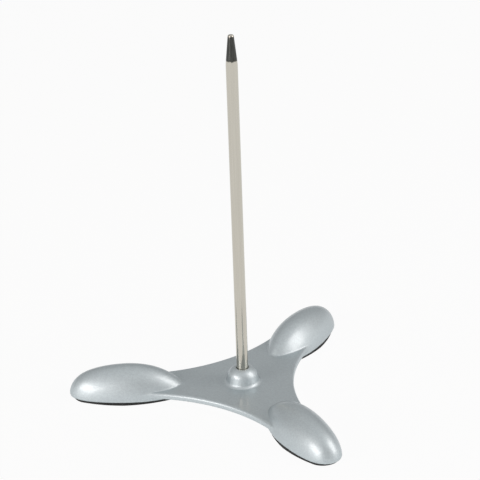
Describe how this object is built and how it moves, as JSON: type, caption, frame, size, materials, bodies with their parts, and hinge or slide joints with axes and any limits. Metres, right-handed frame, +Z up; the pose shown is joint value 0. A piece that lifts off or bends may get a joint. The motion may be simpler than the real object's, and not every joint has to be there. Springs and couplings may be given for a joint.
{
  "type": "bill spike",
  "caption": "Free-standing bill spike: an upright, blunt-ended steel spike on a low star-shaped cast base with domed, rubber-soled feet, for skewering paper slips.",
  "frame": {"origin": "on the spike's axis, on the table plane under the rubber soles", "axes": "+Z up along the spike; one foot points along -X, so the part mirrors across the XZ plane"},
  "size_m": [0.1074, 0.122, 0.1515],
  "materials": {
    "silver_lacquer": "satin metallic lacquer on a zinc die casting",
    "bright_nickel": "bright nickel plate on steel, dark ground cone",
    "zinc_steel": "zinc-plated steel",
    "black_rubber": "matt moulded rubber sheet",
    "adhesive_film": "double-sided adhesive film on a black carrier"
  },
  "bodies": {
    "root": {"base_casting": "silver_lacquer", "spike": "bright_nickel", "spike_screw": "zinc_steel", "lock_washer": "zinc_steel", "rubber_sole_left": "black_rubber", "rubber_sole_front": "black_rubber", "rubber_sole_rear": "black_rubber", "sole_film_left": "adhesive_film", "sole_film_front": "adhesive_film", "sole_film_rear": "adhesive_film"}
  },
  "joints": []
}
